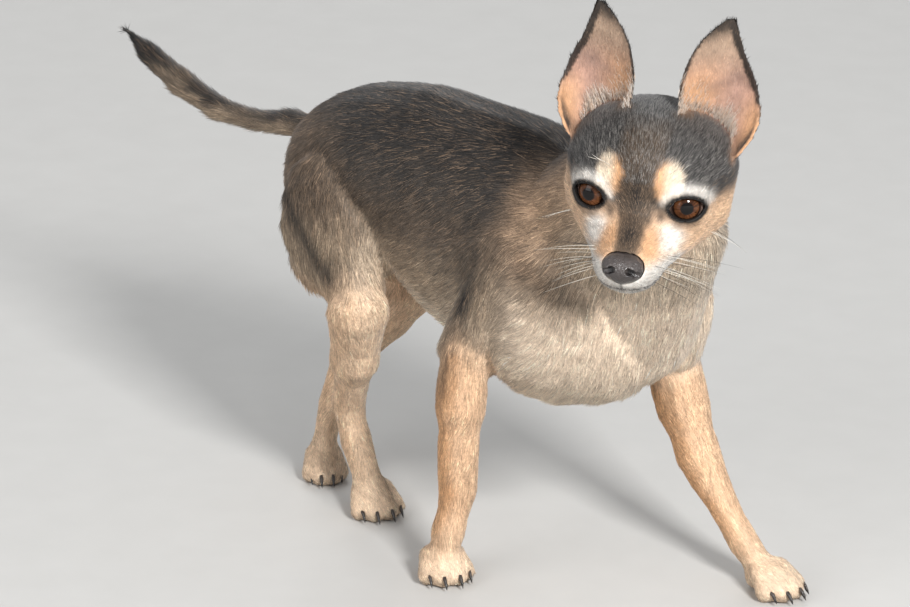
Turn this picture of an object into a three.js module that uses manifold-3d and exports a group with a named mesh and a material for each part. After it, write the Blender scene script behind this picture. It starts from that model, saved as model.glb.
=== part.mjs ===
// A short-coated chihuahua, life size, stepping forward with its head turned to its right.
// Millimetres, +Z up, +X the way the body faces, +Y its left side.
import * as THREE from "three";
import { mergeVertices } from "three/addons/utils/BufferGeometryUtils.js";
import Module from "manifold-3d";

const wasm = await Module();
wasm.setup();

// Driving dimensions
const gap = 0.3; // between neighbouring pieces
const skullTurn = 60; // degrees the head is turned to the right
const skullNod = 4.5; // degrees the muzzle points below level
const skullTilt = -4.5; // degrees about the facing axis, so the right eye is the higher
const skullCentre = [102, -24, 218];
const eyeRadius = 8.6;
const eyeSpread = 18.8; // eye centre to the middle of the face
const earLength = 62.5;
const earWall = 1.4;
const clawLength = 8;
const ground = 5.5; // height of the soles above the zero that the forms are placed from

const v3 = (x, y, z) => new THREE.Vector3(x, y, z);
const at = (p) => (p.isVector3 ? p : v3(...p));
const radians = THREE.MathUtils.degToRad;
const lerp = THREE.MathUtils.lerp;
const clamp = THREE.MathUtils.clamp;
const unit = (way) => at(way).clone().normalize();
const both = (make) => [make(1), make(-1)];

// Fields: each is a function of a point that gives its distance to a form, negative inside
const away = new THREE.Vector3();
function ball(centre, radii) {
  const c = at(centre);
  const [a, b, d] = radii;
  return (p) => {
    away.subVectors(p, c);
    const near = Math.hypot(away.x / a, away.y / b, away.z / d);
    const slope = Math.hypot(away.x / (a * a), away.y / (b * b), away.z / (d * d));
    return slope < 1e-9 ? -Math.min(a, b, d) : (near * (near - 1)) / slope;
  };
}

function limb(from, to, startRadius, endRadius) {
  const a = at(from);
  const along = at(to).clone().sub(a);
  const square = along.lengthSq();
  return (p) => {
    away.subVectors(p, a);
    const share = clamp(away.dot(along) / square, 0, 1);
    away.addScaledVector(along, -share);
    return away.length() - lerp(startRadius, endRadius, share);
  };
}

function soften(a, b, reach) {
  const near = Math.max(reach - Math.abs(a - b), 0) / reach;
  return Math.min(a, b) - (near * near * reach) / 4;
}

const blend = (reach, ...forms) => (p) =>
  forms.reduce((least, form) => soften(least, form(p), reach), 1e6);

// Meshes: closed rings of points, joined one to the next, with a pole at each end
function loft(rings, poles) {
  const sides = rings[0].length;
  const points = [...rings.flat(), ...poles];
  const first = rings.length * sides;
  const last = first - sides;
  const index = [];
  for (let s = 0; s < sides; s++) {
    const next = (s + 1) % sides;
    index.push(first, next, s);
    for (let low = 0; low < last; low += sides) {
      const high = low + sides;
      index.push(low + s, low + next, high + s, low + next, high + next, high + s);
    }
    index.push(first + 1, last + s, last + next);
  }
  return new THREE.BufferGeometry().setFromPoints(points).setIndex(index);
}

// The outermost point of a form on a line that leaves its inside
const probe = new THREE.Vector3();
function landing(form, origin, way, reach, grow = 0) {
  const depth = (d) => form(probe.copy(origin).addScaledVector(way, d)) - grow;
  let far = reach;
  while (far > 0.3 && depth(far) > 0.01) far -= Math.max(depth(far) * 0.7, 0.04);
  return origin.clone().addScaledVector(way, Math.max(far, 0.3));
}

// Lays rings round a path, with a dome at each end, and shrinks them onto a field
function wrap(form, path, { along, around, dome = 4, reach = 90, grow = 0 }) {
  const curve = new THREE.CatmullRomCurve3(path.map(at));
  const steps = along - 1;
  const frames = curve.computeFrenetFrames(steps);
  const land = (origin, way) => landing(form, origin, way, reach, grow);
  const ring = (k, lean) => {
    const origin = curve.getPointAt(k / steps);
    return Array.from({ length: around }, (_, s) => {
      const turn = (2 * Math.PI * s) / around;
      const way = frames.normals[k].clone().multiplyScalar(Math.cos(turn));
      way.addScaledVector(frames.binormals[k], Math.sin(turn)).multiplyScalar(Math.cos(lean));
      return land(origin, way.addScaledVector(frames.tangents[k], Math.sin(lean)));
    });
  };
  const tilt = (k) => (Math.PI / 2) * (k / (dome + 1));
  const rings = [];
  for (let k = dome; k > 0; k--) rings.push(ring(0, -tilt(k)));
  for (let k = 0; k <= steps; k++) rings.push(ring(k, 0));
  for (let k = 1; k <= dome; k++) rings.push(ring(steps, tilt(k)));
  const start = land(curve.getPointAt(0), frames.tangents[0].clone().negate());
  const end = land(curve.getPointAt(1), frames.tangents[steps].clone());
  return loft(rings, [start, end]);
}

// Solids: closed meshes that can be joined and cut
function solid(geometry) {
  const bare = geometry.clone();
  bare.deleteAttribute("normal");
  bare.deleteAttribute("uv");
  const merged = mergeVertices(bare, 1e-4);
  const triVerts = new Uint32Array(merged.index.array);
  const vertProperties = new Float32Array(merged.attributes.position.array);
  const made = new wasm.Manifold(new wasm.Mesh({ numProp: 3, vertProperties, triVerts }));
  if (made.volume() > 0) return made;
  for (let i = 0; i < triVerts.length; i += 3) triVerts.subarray(i, i + 3).reverse();
  return new wasm.Manifold(new wasm.Mesh({ numProp: 3, vertProperties, triVerts }));
}

// A form as it is, and as the room its neighbours leave for it
function grown(form, path, net) {
  return {
    body: solid(wrap(form, path, net)),
    room: solid(wrap(form, path, { ...net, grow: gap })),
  };
}

const cut = (made, ...rooms) => rooms.reduce((left, room) => left.subtract(room), made);

// Keeps the side of a plane that its normal points to
function beyond(made, point, normal, margin = gap / 2) {
  const n = unit(normal);
  return made.trimByPlane([n.x, n.y, n.z], n.dot(at(point)) + margin);
}

function parted(made, point, normal) {
  return [beyond(made, point, normal), beyond(made, point, unit(normal).negate())];
}

const nodes = new THREE.Group();
function node(name, made, look) {
  const bodies = made.decompose();
  const kept = bodies.reduce((best, body) => (body.volume() > best.volume() ? body : best));
  const mesh = kept.getMesh();
  const geometry = new THREE.BufferGeometry();
  geometry.setAttribute("position", new THREE.BufferAttribute(mesh.vertProperties, 3));
  geometry.setIndex(new THREE.BufferAttribute(mesh.triVerts, 1));
  geometry.computeVertexNormals();
  const shown = new THREE.Mesh(geometry, look);
  shown.name = name;
  nodes.add(shown);
}

const finish = (color, roughness) =>
  new THREE.MeshStandardMaterial({ color, roughness, metalness: 0 });
const looks = {
  saddle: finish(0x4a4038, 0.85),
  fawn: finish(0xc39a70, 0.85),
  cream: finish(0xd9c3a6, 0.85),
  ear: finish(0xb98a72, 0.75),
  eye: finish(0x3a1d0e, 0.08),
  nose: finish(0x2c2a2e, 0.35),
  claw: finish(0x1d1a1a, 0.4),
};

// Trunk
const flanks = (x, y, z, radii) => both((side) => ball([x, side * y, z], radii));
const trunkForm = blend(
  16,
  ball([10, 0, 154], [66, 39, 60]),
  ball([50, 0, 129], [36, 35, 39.5]),
  ball([-42, 0, 178], [58, 33, 38]),
  ball([-82, 0, 172], [42, 29, 34]),
  ball([-112, 0, 155], [22, 23, 31]),
  ball([-28, 0, 146], [46, 30, 32]),
  ...flanks(42, 28, 148, [32, 18, 44]),
  ...flanks(34, 18, 126.5, [28, 21, 32.5]),
);
const trunk = grown(trunkForm, [[-108, 0, 162], [-60, 0, 174], [10, 0, 154], [50, 0, 136]], {
  along: 18,
  around: 22,
  dome: 4,
});

// Neck
const neckForm = blend(
  14,
  limb([42, 0, 164], [92, -12, 205], 39, 30),
  limb([56, 11, 131], [94, -2, 180], 36, 26),
);
const neck = grown(neckForm, [[46, 0, 150], [66, -4, 168], [90, -15, 196]], {
  along: 9,
  around: 24,
  dome: 4,
});

// Head: its forms are given as forward, left and up from the middle of the skull
const facing = unit([
  Math.cos(radians(skullTurn)) * Math.cos(radians(skullNod)),
  -Math.sin(radians(skullTurn)) * Math.cos(radians(skullNod)),
  -Math.sin(radians(skullNod)),
]);
const headLeft = v3(0, 0, 1).cross(facing).normalize().applyAxisAngle(facing, radians(skullTilt));
const headUp = facing.clone().cross(headLeft);
const headFrame = new THREE.Matrix4().makeBasis(facing, headLeft, headUp)
  .setPosition(at(skullCentre));
const onHead = (geometry) => solid(geometry.applyMatrix4(headFrame));

const eyeCentre = (side) => v3(20.4, side * eyeSpread, -5.2);
const gaze = (side) => unit([1, side * 0.3, 0.05]);
const headForm = blend(
  8,
  ball([-4, 0, 1], [34, 37, 27]),
  ball([8, 0, 3], [24, 29, 24]),
  ...both((side) => limb([4, side * 22, -14], [38, side * 7, -26], 14, 8.5)),
  ...both((side) => ball([16.5, side * 15, 4.5], [9.5, 9, 6.5])),
  ...both((side) => ball(eyeCentre(side), Array(3).fill(eyeRadius + 1.8))),
  limb([16, 0, -17], [47, 0, -25.5], 15, 8.5),
  limb([8, 0, -25], [42, 0, -34.5], 15, 6.5),
  ...both((side) => ball([42, side * 6, -29], [11, 7, 7])),
);
const headPath = [[-10, 0, 2], [10, 0, -4], [30, 0, -20], [42, 0, -27]];
const headNet = { along: 14, around: 32, dome: 7, reach: 60 };
const headBody = onHead(wrap(headForm, headPath, headNet));
const headRoom = onHead(wrap(headForm, headPath, { ...headNet, grow: gap }));

// The opening between the lids, an almond that runs out along the gaze
function lidOpening(side) {
  const [half, rise, drop] = [8.2, 6.2, 5.6];
  const almond = new THREE.Shape();
  almond.moveTo(-half, -1.4);
  almond.bezierCurveTo(-half * 0.6, rise * 1.2, half * 0.4, rise * 1.25, half, 0.6);
  almond.bezierCurveTo(half * 0.6, -drop * 1.2, -half * 0.5, -drop * 1.25, -half, -1.4);
  const options = { depth: 16, bevelEnabled: false, curveSegments: 6 };
  const prism = new THREE.ExtrudeGeometry(almond, options);
  const out = gaze(side);
  const across = v3(0, 0, 1).cross(out).normalize().multiplyScalar(side);
  const rising = out.clone().cross(across).multiplyScalar(side);
  const frame = new THREE.Matrix4().makeBasis(across, rising, out).setPosition(eyeCentre(side));
  return onHead(prism.applyMatrix4(frame));
}

// A thin tapered tube bent along a path in the head's frame, blunt at both ends
function roll(path, thickness, { along = 10, around = 5 } = {}) {
  const curve = new THREE.CatmullRomCurve3(path.map(at));
  const frames = curve.computeFrenetFrames(along);
  const rings = [];
  for (let k = 0; k <= along; k++) {
    const share = Math.sin(Math.PI * clamp(k / along, 0.06, 0.94));
    rings.push(Array.from({ length: around }, (_, s) => {
      const turn = (2 * Math.PI * s) / around;
      return curve.getPointAt(k / along)
        .addScaledVector(frames.normals[k], thickness * share * Math.cos(turn))
        .addScaledVector(frames.binormals[k], thickness * share * Math.sin(turn));
    }));
  }
  return loft(rings, [curve.getPointAt(0), curve.getPointAt(1)]);
}

// Lids follow the ball of the eye just outside it
function lid(side, lift) {
  const out = gaze(side);
  const across = v3(0, 0, 1).cross(out).normalize();
  const rising = out.clone().cross(across);
  const path = [-1, -0.6, -0.2, 0.2, 0.6, 1].map((share) => {
    const way = out.clone().addScaledVector(across, share * 1.25);
    way.addScaledVector(rising, lift * (1 - share * share) + 0.04 * side * share);
    return eyeCentre(side).addScaledVector(way.normalize(), eyeRadius + 1.8);
  });
  return onHead(roll(path, 1.35, { along: 9 }));
}

const eyeBall = (side, radius) => {
  const globe = new THREE.SphereGeometry(radius, 16, 10);
  return onHead(globe.translate(...eyeCentre(side).toArray()));
};

// Nose leather, with a comma of a nostril on each side
const noseForm = blend(
  4,
  ball([52, 0, -24.2], [7.8, 7, 5.2]),
  ...both((side) => ball([53.5, side * 4.7, -24.6], [5.3, 3.8, 4.3])),
  ball([55, 0, -27.6], [3.8, 2.8, 3.1]),
);
const nosePath = [[50, 0, -24.5], [53, 0, -24.8], [55, 0, -25.2]];
const noseNet = { along: 4, around: 18, dome: 3, reach: 20 };
const nostrils = both((side) => onHead(roll(
  [[64, side * 2.6, -22.6], [58.6, side * 3.8, -23.8], [57, side * 6.6, -25.4], [55, side * 11, -26.8]],
  2,
  { along: 6, around: 5 },
)));
const noseRoom = onHead(wrap(noseForm, nosePath, { ...noseNet, grow: gap }));
const noseBody = cut(onHead(wrap(noseForm, nosePath, noseNet)), ...nostrils);

// Line of the mouth, laid on the muzzle from one corner round the front to the other,
// with a lip above and below it, and the groove under the nose
const mouthMiddle = v3(30, 0, -31.5);
function mouthLine(lift, sink) {
  return Array.from({ length: 15 }, (_, k) => {
    const turn = radians(lerp(-128, 128, k / 14));
    const dip = 1.6 * Math.cos(turn * 2.2) - 1.2;
    const origin = mouthMiddle.clone().setZ(mouthMiddle.z + dip + lift);
    return landing(headForm, origin, v3(Math.cos(turn), Math.sin(turn), 0), 60, -sink);
  });
}
const mouth = onHead(roll(mouthLine(0, 0.1), 0.75, { along: 20, around: 4 }));
const lips = [1.5, -1.4].map((lift) => onHead(roll(mouthLine(lift, 0.7), 1.15, { along: 16, around: 5 })));
const groove = onHead(roll([[57.5, 0, -25], [57, 0, -29], [54.5, 0, -33]], 0.8, { along: 5, around: 4 }));

// Ears: a thin curled sheet, a tube at the root and a flat point at the tip
const earRows = 11;
const earColumns = 10;
function earSheet(side) {
  const up = unit([-0.06, side > 0 ? 0.05 : -0.045, 1]);
  const out = unit([1, side * 0.42, 0]);
  out.addScaledVector(up, -out.dot(up)).normalize();
  const across = up.clone().cross(out).multiplyScalar(side);
  const root = v3(-3, side > 0 ? 25 : -25.6, 7);
  const profile = (values) => {
    const curve = new THREE.SplineCurve(values.map((value, k) => new THREE.Vector2(k, value)));
    return (share) => curve.getPoint(share).y;
  };
  const inner = profile([6, 11.2, 16.7, 19, 19.3, 18, 15.3, 10.6, 2.6]);
  const outer = profile([7, 12.7, 17, 18.6, 17.3, 13.4, 9, 5.7, 2.5]);
  const depth = profile([10, 14, 14.6, 12.6, 10, 7.2, 4.4, 2, 0.6]);
  const place = (row, column, inset) => {
    const share = row / earRows;
    const closing = Math.min(1, share * 2.2);
    const turn = radians(lerp(-lerp(96, 72, closing), lerp(114, 72, closing), column / earColumns));
    const width = (turn > 0 ? outer : inner)(share);
    const half = Math.max(width - inset * Math.min(1, Math.abs(turn)), 0.7);
    const deep = Math.max(depth(share) - inset, 0.1);
    const bow = 6 * Math.sin(Math.PI * share);
    return root.clone()
      .addScaledVector(up, earLength * share)
      .addScaledVector(across, half * Math.sin(turn))
      .addScaledVector(out, deep * 0.5 - deep * Math.cos(turn) - bow * 0.4);
  };
  return place;
}
function ear(side) {
  const place = earSheet(side);
  const rings = [];
  for (let row = 0; row <= earRows; row++) {
    const back = Array.from({ length: earColumns + 1 }, (_, c) => place(row, c, 0));
    const front = Array.from({ length: earColumns + 1 }, (_, c) => place(row, c, earWall));
    rings.push([...back, ...front.reverse()]);
  }
  const sides = rings[0].length;
  const index = [];
  for (let row = 0; row < earRows; row++) {
    for (let s = 0; s < sides; s++) {
      const next = (s + 1) % sides;
      const [low, high] = [row * sides, (row + 1) * sides];
      index.push(low + s, low + next, high + s, low + next, high + next, high + s);
    }
  }
  for (let s = 0; s < earColumns; s++) {
    const far = sides - 1 - s;
    const top = earRows * sides;
    index.push(s, far, s + 1, s + 1, far, far - 1);
    index.push(top + s, top + s + 1, top + far, top + s + 1, top + far - 1, top + far);
  }
  return onHead(new THREE.BufferGeometry().setFromPoints(rings.flat()).setIndex(index));
}

// Tail, held up behind and curling up at the tip
const tailPath = [
  [-112, 0, 178], [-134, 0, 178], [-158, 0, 174], [-184, 0, 174], [-208, 0, 181], [-229, 0, 190],
  [-246, 0, 199.5],
];
const tailRadii = [8, 7, 5.4, 6, 6.8, 6, 1.6];
const tailForm = blend(3, ...tailRadii.slice(1).map((radius, k) =>
  limb(tailPath[k], tailPath[k + 1], tailRadii[k], radius)));
const tail = grown(tailForm, tailPath, { along: 18, around: 10, dome: 2, reach: 14 });

// Hind legs
const thigh = (side, hip, knee) => {
  const form = blend(
    12,
    limb(hip, knee, 22, 12),
    ball([lerp(hip[0], knee[0], 0.35) - 10, side * 24, lerp(hip[2], knee[2], 0.4)], [29, 13.5, 34]),
  );
  return grown(form, [[lerp(hip[0], knee[0], 0.2), hip[1], lerp(hip[2], knee[2], 0.2)], knee], {
    along: 8,
    around: 18,
    dome: 4,
    reach: 60,
  });
};

// A paw as toes and a pad about a heel point, turned to its heading
function pawForms(heel, heading, spread = 1) {
  const ahead = v3(Math.cos(radians(heading)), Math.sin(radians(heading)), 0);
  const aside = v3(-ahead.y, ahead.x, 0);
  const put = (f, s, z) =>
    at(heel).clone().addScaledVector(ahead, f).addScaledVector(aside, s * spread).setZ(ground + z);
  const toes = [[10, -9, 4.1], [14.5, -3.6, 4.3], [14.5, 3.6, 4.3], [10, 9, 4.1]];
  const forms = toes.map(([f, s, z]) => limb(put(f - 9, s * 0.7, z + 7), put(f, s, z), 4.2, 4.9));
  forms.push(limb(put(-4, 0, 6.4), put(6, 0, 7), 7.4, 8.2));
  const claws = toes.map(([f, s]) => [put(f + 2.5, s, 5.6), put(f + 2.5 + clawLength * 0.8, s * 1.04, 1)]);
  return { forms, claws, put };
}

// A bent claw, thick at the root and pointed at the end
function claw([from, to]) {
  const steps = 4;
  const along = to.clone().sub(from);
  const sideways = unit([-along.y, along.x, 0]);
  const across = sideways.clone().cross(along).normalize();
  const rings = [];
  for (let k = 0; k < steps; k++) {
    const share = k / steps;
    const radius = lerp(1.7, 0.45, share);
    const centre = from.clone().addScaledVector(along, share);
    centre.z += 1.6 * Math.sin(Math.PI * share);
    rings.push(Array.from({ length: 6 }, (_, s) => {
      const turn = (Math.PI * s) / 3;
      return centre.clone().addScaledVector(sideways, radius * 0.8 * Math.cos(turn))
        .addScaledVector(across, radius * Math.sin(turn));
    }));
  }
  return solid(loft(rings, [from, to]));
}

const legs = {
  fore_right: {
    shoulder: { from: [30, -24, 160], to: [8, -40, 116], radii: [22, 12.5] },
    path: [[10, -41, 118], [8, -42, 92], [6, -42, 62], [5, -41, 45], [2.5, -44.5, 28], [2, -46.5, 18]],
    radii: [12.3, 11, 8.8, 7.8, 6.6, 7],
    heel: [-3, -44, 0],
    heading: -30,
  },
  fore_left: {
    shoulder: { from: [52, 28, 148], to: [62, 37, 110], radii: [24, 14] },
    front: { centre: [64, 31, 133], radii: [24, 19, 32] },
    path: [[61, 37, 112], [66, 39.5, 85], [77.5, 40.5, 57], [100, 41, 28], [110, 41.5, 18]],
    radii: [13, 12, 9.4, 6.2, 6.8],
    heel: [116, 41.5, 0],
    heading: -10,
  },
  hind_right: {
    hip: [-92, -14, 162],
    knee: [-62, -34, 112],
    path: [[-64, -33, 114], [-73, -26, 86], [-81, -20, 69], [-87, -16, 57], [-84, -13, 36], [-78, -12, 20]],
    radii: [15, 10.8, 6.8, 7.2, 6.6, 7],
    heel: [-79, -10, 0],
    heading: -26,
  },
  hind_left: {
    hip: [-98, 14, 158],
    knee: [-82, 32, 108],
    path: [[-82, 31, 110], [-103, 25, 84], [-121.5, 17, 58], [-125.5, 12.5, 37], [-126, 7.5, 20]],
    radii: [14.5, 10.8, 7.2, 6, 6],
    heel: [-126.5, 7.5, 0],
    heading: -40,
    spread: 0.75,
  },
};

const levelled = (made) => beyond(made, [0, 0, ground], [0, 0, 1], 0);

function lowerLeg({ path, radii, heel, heading, spread }) {
  const chain = radii.slice(1).map((radius, k) => limb(path[k], path[k + 1], radii[k], radius));
  const shank = grown(blend(6, ...chain), path, { along: 11, around: 12, dome: 2, reach: 24 });
  const foot = pawForms(heel, heading, spread);
  const form = blend(2.2, ...foot.forms, ...chain.slice(-1));
  const paw = grown(form, [foot.put(-6, 0, 8), foot.put(4, 0, 8), foot.put(12, 0, 6)], {
    along: 7,
    around: 18,
    dome: 3,
    reach: 30,
  });
  return { shank, paw, claws: foot.claws };
}

const [shoulders, shins] = [{}, {}];
for (const [name, leg] of Object.entries(legs)) {
  const side = name.endsWith("left") ? 1 : -1;
  shins[name] = lowerLeg(leg);
  if (leg.shoulder) {
    const { from, to, radii } = leg.shoulder;
    const fronts = leg.front ? [ball(leg.front.centre, leg.front.radii)] : [];
    const form = blend(10, limb(from, to, ...radii), ...fronts);
    shoulders[name] = grown(form, [from, to], { along: 7, around: 14, dome: 3, reach: 60 });
  } else {
    shoulders[name] = thigh(side, leg.hip, leg.knee);
  }
}

// Assembly
node("torso", cut(trunk.body), looks.saddle);
node("neck", cut(neck.body, trunk.room), looks.fawn);
const sockets = both((side) => eyeBall(side, eyeRadius + gap));
const lids = both((side) => [lid(side, 0.64), lid(side, -0.7)]).flat();
const head = [...lids, ...lips].reduce(
  (whole, piece) => whole.add(piece),
  cut(headBody, ...both(lidOpening)),
);
node("head", cut(head, mouth, groove, ...sockets, noseRoom, neck.room, trunk.room), looks.fawn);
node("nose", noseBody, looks.nose);
for (const [side, name] of [[1, "left"], [-1, "right"]]) {
  node(`eye_${name}`, eyeBall(side, eyeRadius), looks.eye);
  node(`ear_${name}`, cut(ear(side), headRoom), looks.ear);
}

const [tailBack, tailBase] = parted(tail.body, tailPath[2], [-1, 0, 0]);
const [tailTip, tailMiddle] = parted(tailBack, tailPath[4], [-1, 0, 0.4]);
node("tail_base", cut(tailBase, trunk.room), looks.saddle);
node("tail_middle", tailMiddle, looks.saddle);
node("tail_tip", tailTip, looks.saddle);

for (const [name, { shank, paw, claws }] of Object.entries(shins)) {
  const upper = shoulders[name];
  const [limbName, lowerName] = name.startsWith("fore") ? ["upper_arm", "forearm"] : ["thigh", "shank"];
  node(`${name}_${limbName}`, cut(upper.body, trunk.room, neck.room), looks.fawn);
  node(`${name}_${lowerName}`, cut(shank.body, upper.room, trunk.room, paw.room), looks.fawn);
  node(`${name}_paw`, levelled(paw.body), looks.cream);
  claws.forEach((ends, k) => node(`${name}_claw_${k + 1}`, cut(levelled(claw(ends)), paw.room), looks.claw));
}

// The origin goes to the middle of the box round the whole animal, on the ground
const box = new THREE.Box3().setFromObject(nodes);
nodes.position.set(-(box.min.x + box.max.x) / 2, -(box.min.y + box.max.y) / 2, -box.min.z);

export default nodes;
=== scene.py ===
import math
import bpy
import bmesh
import numpy as np
from mathutils import Matrix, Vector
from mathutils.kdtree import KDTree


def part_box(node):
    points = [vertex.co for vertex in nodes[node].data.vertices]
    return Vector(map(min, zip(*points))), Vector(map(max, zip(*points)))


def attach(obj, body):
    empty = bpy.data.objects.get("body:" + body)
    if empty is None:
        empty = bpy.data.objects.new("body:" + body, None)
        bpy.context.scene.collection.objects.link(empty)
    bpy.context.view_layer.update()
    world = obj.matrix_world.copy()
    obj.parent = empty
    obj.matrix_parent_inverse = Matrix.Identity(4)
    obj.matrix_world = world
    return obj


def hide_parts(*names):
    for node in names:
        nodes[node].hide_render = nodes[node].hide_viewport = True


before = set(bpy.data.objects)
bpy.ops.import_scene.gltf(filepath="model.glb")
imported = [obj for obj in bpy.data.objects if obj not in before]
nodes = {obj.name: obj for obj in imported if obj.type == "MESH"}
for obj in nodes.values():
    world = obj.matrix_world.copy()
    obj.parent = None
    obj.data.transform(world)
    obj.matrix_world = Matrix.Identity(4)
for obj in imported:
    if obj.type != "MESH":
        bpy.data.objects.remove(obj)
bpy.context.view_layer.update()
scene = bpy.context.scene
mm = 0.001
rng = np.random.default_rng(7)

# Places on the body are in millimetres; the soles stand at a height of 5.5 in them
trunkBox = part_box("torso")
bodyStart = {"rumpBehind": 134 * mm, "soles": 5.5 * mm}
bodyOrigin = np.array([
    trunkBox[0].x + bodyStart["rumpBehind"], (trunkBox[0].y + trunkBox[1].y) / 2, -bodyStart["soles"],
])


def boxMiddle(name):
    low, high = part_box(name)
    return np.array((low + high) / 2)


def unit(v):
    v = np.asarray(v, float)
    return v / np.maximum(np.linalg.norm(v, axis=-1, keepdims=True), 1e-12)


# Places on the head are forward, left and up of the middle of the skull
headPlan = {"eyeAhead": 20.4, "eyeSpread": 18.8, "eyeBelow": 5.2, "eyeRadius": 8.6, "noseDrop": 31.39}
eyeMiddles = {side: boxMiddle(f"eye_{side}") for side in ("left", "right")}
headLeft = unit(eyeMiddles["left"] - eyeMiddles["right"])
betweenEyes = (eyeMiddles["left"] + eyeMiddles["right"]) / 2
toNose = boxMiddle("nose") - betweenEyes
toNose = unit(toNose - headLeft * toNose.dot(headLeft))
noseTurn = Matrix.Rotation(math.radians(-headPlan["noseDrop"]), 3, Vector(headLeft))
headAhead = np.array(noseTurn @ Vector(toNose))
headUp = np.cross(headAhead, headLeft)
headOrigin = betweenEyes - headAhead * headPlan["eyeAhead"] * mm + headUp * headPlan["eyeBelow"] * mm
headAxes = np.stack([headAhead, headLeft, headUp])


eyePlaces = {side: np.array([headPlan["eyeAhead"], side * headPlan["eyeSpread"], -headPlan["eyeBelow"]])
             for side in (-1, 1)}
eyeGaze = {side: unit(np.array([1, side * 0.3, 0.05])) for side in (-1, 1)}


def onBody(points):
    return (points - bodyOrigin) / mm


def onHead(points):
    return ((points - headOrigin) @ headAxes.T) / mm


def fromHead(places):
    return headOrigin + (np.asarray(places, float) * mm) @ headAxes


def step(low, high, value):
    t = np.clip((value - low) / (high - low), 0, 1)
    return t * t * (3 - 2 * t)


def bump(centre, radii, points):
    away = (points - np.array(centre)) / np.array(radii)
    return np.exp(-(away * away).sum(1))


def mix(a, b, share):
    share = np.asarray(share)[..., None]
    return a * (1 - share) + np.asarray(b) * share


# Smooth random values in space, one for each point, mixed from a hash of each corner of a cell
driftPlan = {"seedStep": 17.31, "primes": (374761393, 668265263, 2147483647), "seedPrime": 974634777}


def drift(points, size, seed=0):
    p = points / size + seed * driftPlan["seedStep"]
    cell = np.floor(p).astype(np.int64)
    f = p - cell
    f = f * f * (3 - 2 * f)
    total = np.zeros(len(points))
    for corner in range(8):
        o = np.array([(corner >> k) & 1 for k in range(3)])
        c = cell + o
        h = (c * np.array(driftPlan["primes"])).sum(1) + seed * driftPlan["seedPrime"]
        h &= 0xFFFFFFFF
        h = ((h ^ (h >> 13)) * 1274126177) & 0xFFFFFFFF
        value = (h ^ (h >> 16)) / 0xFFFFFFFF
        total += value * np.prod(np.where(o, f, 1 - f), axis=1)
    return total * 2 - 1


# Meshes in and out of arrays
def fetched(items, key, width, kind=np.float32):
    out = np.empty(len(items) * width, kind)
    items.foreach_get(key, out)
    return out.reshape(-1, width)


def pointsOf(mesh):
    return fetched(mesh.vertices, "co", 3).astype(float)


def normalsOf(mesh):
    return fetched(mesh.vertices, "normal", 3).astype(float)


def edgesOf(mesh):
    return fetched(mesh.edges, "vertices", 2, np.int32)


def trianglesOf(mesh):
    mesh.calc_loop_triangles()
    return fetched(mesh.loop_triangles, "vertices", 3, np.int32)


def setPoints(mesh, points):
    mesh.vertices.foreach_set("co", points.astype(np.float32).ravel())
    mesh.update()


def meshFrom(name, points, triangles):
    mesh = bpy.data.meshes.new(name)
    mesh.vertices.add(len(points))
    mesh.vertices.foreach_set("co", points.astype(np.float32).ravel())
    mesh.loops.add(triangles.size)
    mesh.loops.foreach_set("vertex_index", triangles.astype(np.int32).ravel())
    mesh.polygons.add(len(triangles))
    mesh.polygons.foreach_set("loop_start", np.arange(0, triangles.size, 3, dtype=np.int32))
    mesh.update(calc_edges=True)
    return mesh


def place(name, mesh, material, replaced=()):
    piece = bpy.data.objects.new(name, mesh)
    scene.collection.objects.link(piece)
    mesh.materials.clear()
    mesh.materials.append(material)
    mesh.shade_smooth()
    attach(piece, "root")
    if replaced:
        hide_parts(*replaced)
    return piece


def applied(mesh, kind, **settings):
    holder = bpy.data.objects.new("holder", mesh)
    scene.collection.objects.link(holder)
    modifier = holder.modifiers.new("work", kind)
    for key, value in settings.items():
        setattr(modifier, key, value)
    view = bpy.context.evaluated_depsgraph_get()
    done = bpy.data.meshes.new_from_object(holder.evaluated_get(view))
    bpy.data.objects.remove(holder)
    return done


# One mesh from copies of solids, each pushed out a little so that neighbours overlap
def gathered(names, grow):
    together = bmesh.new()
    for name in names:
        part = bmesh.new()
        part.from_mesh(nodes[name].data)
        bmesh.ops.remove_doubles(part, verts=part.verts, dist=0.005 * mm)
        part.normal_update()
        for vertex in part.verts:
            vertex.co += vertex.normal * grow
        spare = bpy.data.meshes.new("spare")
        part.to_mesh(spare)
        part.free()
        together.from_mesh(spare)
        bpy.data.meshes.remove(spare)
    mesh = bpy.data.meshes.new("gathered")
    together.to_mesh(mesh)
    together.free()
    return mesh


def spread(values, edges, count):
    total = np.zeros(values.shape)
    for k in range(values.shape[1]):
        column = values[:, k]
        total[:, k] = np.bincount(edges[:, 0], column[edges[:, 1]], count)
        total[:, k] += np.bincount(edges[:, 1], column[edges[:, 0]], count)
    return total / np.maximum(np.bincount(edges.ravel(), minlength=count), 1)[:, None]


def smoothed(points, edges, rounds, weight, keepSize=True):
    points = points.copy()
    for _ in range(rounds):
        for push in (0.5, -0.52) if keepSize else (0.5,):
            points += (spread(points, edges, len(points)) - points) * (push * weight)[:, None]
    return points


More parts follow.
